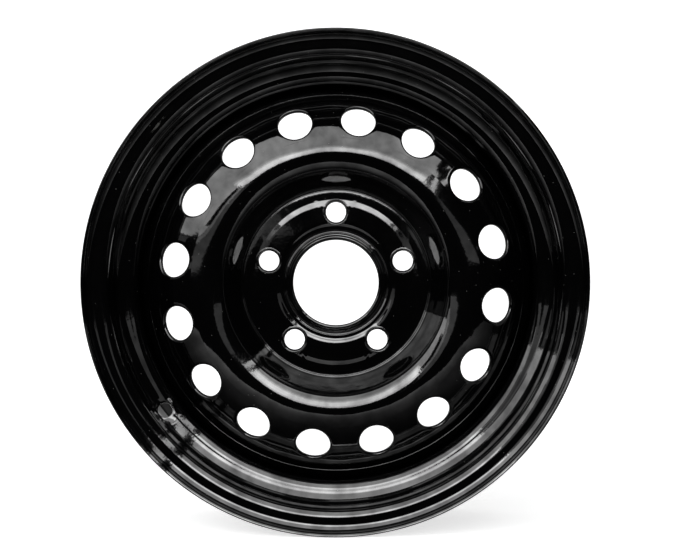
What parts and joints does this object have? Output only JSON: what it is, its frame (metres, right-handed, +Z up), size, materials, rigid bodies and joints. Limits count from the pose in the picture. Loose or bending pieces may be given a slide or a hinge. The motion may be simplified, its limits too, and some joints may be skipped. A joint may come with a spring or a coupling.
{
  "type": "trailer wheel",
  "caption": "Pressed-steel trailer wheel: a drop-centre rim welded to a dished disc with a hub bore, conical bolt seats and round vent holes.",
  "frame": {"origin": "wheel centre: on the spin axis, at the rim's mid-plane", "axes": "+Y along the spin axis, towards the hub and away from the street side; +Z up; +X to the right as seen from the street"},
  "size_m": [0.3894, 0.1658, 0.3892],
  "materials": {
    "gloss_black_paint": "gloss"
  },
  "bodies": {
    "root": {"rim": "gloss_black_paint", "wheel_disc": "gloss_black_paint", "weld_beads": "gloss_black_paint"}
  },
  "joints": []
}
